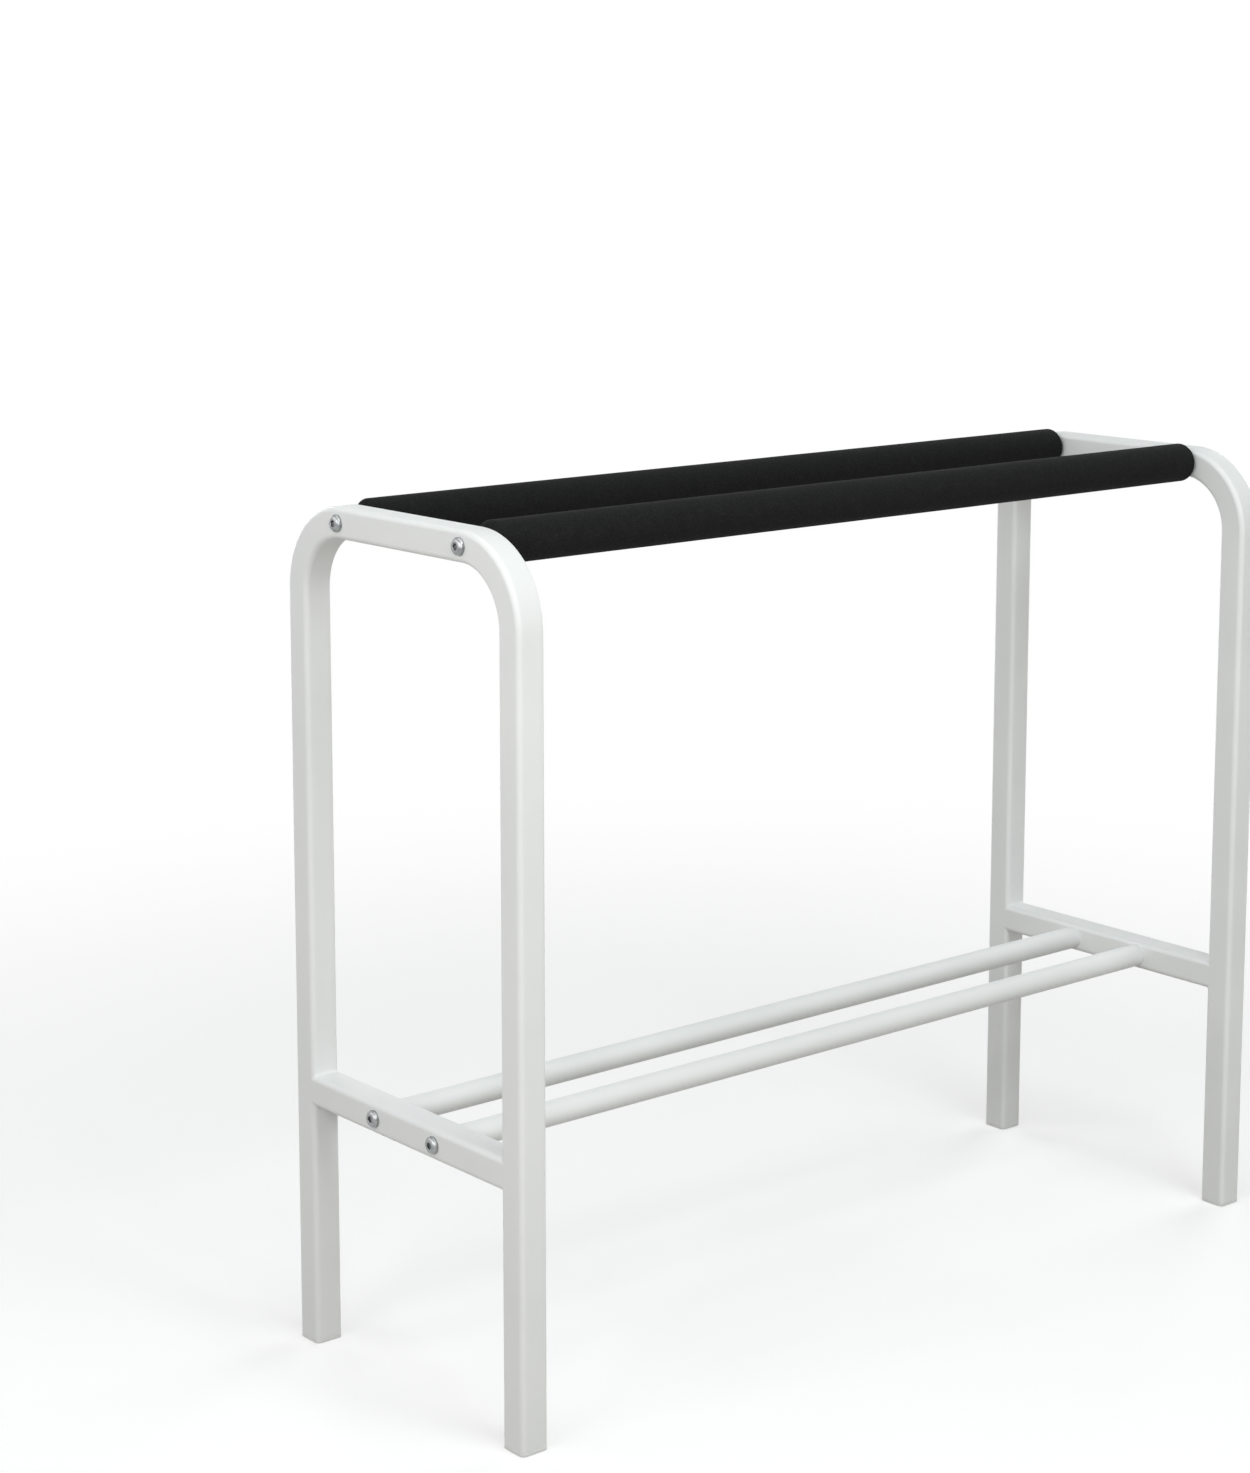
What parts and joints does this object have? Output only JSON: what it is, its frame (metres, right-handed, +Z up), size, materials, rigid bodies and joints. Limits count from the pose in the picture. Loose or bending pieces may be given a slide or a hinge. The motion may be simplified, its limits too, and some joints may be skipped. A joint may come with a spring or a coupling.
{
  "type": "racket display stand",
  "caption": "Floor stand with bent square-tube end frames, foam-covered top rails that carry racket heads, and a lower pair of rails between which the handles hang.",
  "frame": {"origin": "on the floor, midway between the four feet", "axes": "+X along the rails, from the left end frame to the right one; +Y to the rear, across the stand; +Z up"},
  "size_m": [0.6686, 0.236, 0.5535],
  "materials": {
    "powder_coat": "white, satin, fine texture",
    "foam": "black, matt, closed-cell",
    "zinc": "bright zinc",
    "plug_plastic": "white, moulded"
  },
  "bodies": {
    "root": {"left_end_arch": "powder_coat", "right_end_arch": "powder_coat", "left_crossbar": "powder_coat", "right_crossbar": "powder_coat", "front_top_rail": "powder_coat", "rear_top_rail": "powder_coat", "front_lower_rail": "powder_coat", "rear_lower_rail": "powder_coat", "front_foam_sleeve": "foam", "rear_foam_sleeve": "foam", "left_front_foot": "plug_plastic", "left_rear_foot": "plug_plastic", "right_front_foot": "plug_plastic", "right_rear_foot": "plug_plastic", "left_front_top_insert": "zinc", "left_rear_top_insert": "zinc", "right_front_top_insert": "zinc", "right_rear_top_insert": "zinc", "left_front_lower_insert": "zinc", "left_rear_lower_insert": "zinc", "right_front_lower_insert": "zinc", "right_rear_lower_insert": "zinc", "left_front_top_bolt": "zinc", "left_rear_top_bolt": "zinc", "right_front_top_bolt": "zinc", "right_rear_top_bolt": "zinc", "left_front_lower_bolt": "zinc", "left_rear_lower_bolt": "zinc", "right_front_lower_bolt": "zinc", "right_rear_lower_bolt": "zinc"}
  },
  "joints": []
}
